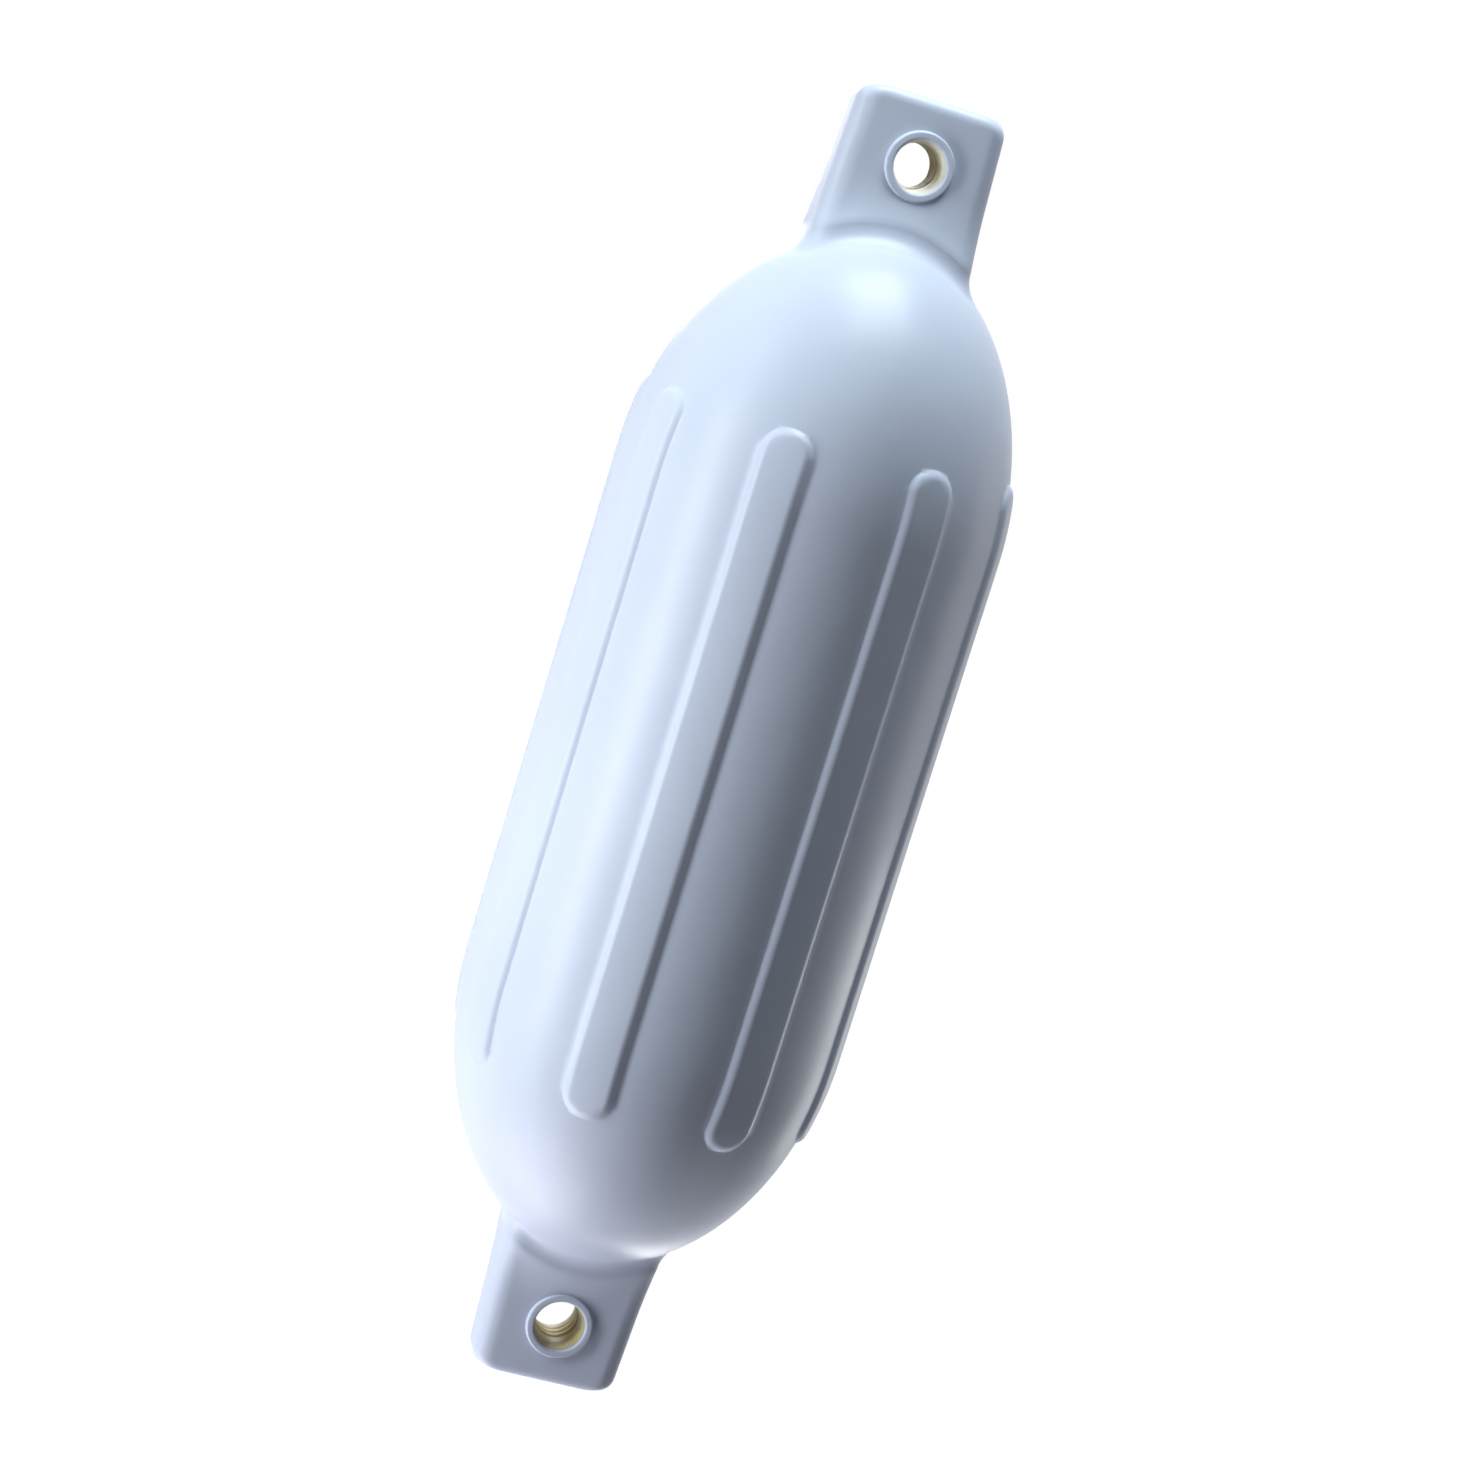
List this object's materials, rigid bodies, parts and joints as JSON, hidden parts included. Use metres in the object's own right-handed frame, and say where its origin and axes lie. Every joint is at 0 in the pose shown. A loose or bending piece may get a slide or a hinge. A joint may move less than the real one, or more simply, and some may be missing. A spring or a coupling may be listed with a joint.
{
  "type": "boat fender",
  "caption": "Ribbed, domed boat fender of soft inflated vinyl, with a flat tab and a lipped rope eye at each end and a flush air valve.",
  "frame": {"origin": "The fender's middle: half way along it, on its axis.", "axes": "+Z runs along the fender to the upper eye, as it hangs. The tabs' flat faces look along +Y and -Y, and -Y is the front. +X is across the tabs."},
  "size_m": [0.162, 0.162, 0.566],
  "materials": {
    "vinyl": "satin-gloss pale blue-grey vinyl",
    "valve_rubber": "matt black rubber"
  },
  "bodies": {
    "root": {"fender_body": "vinyl", "air_valve": "valve_rubber"}
  },
  "joints": []
}
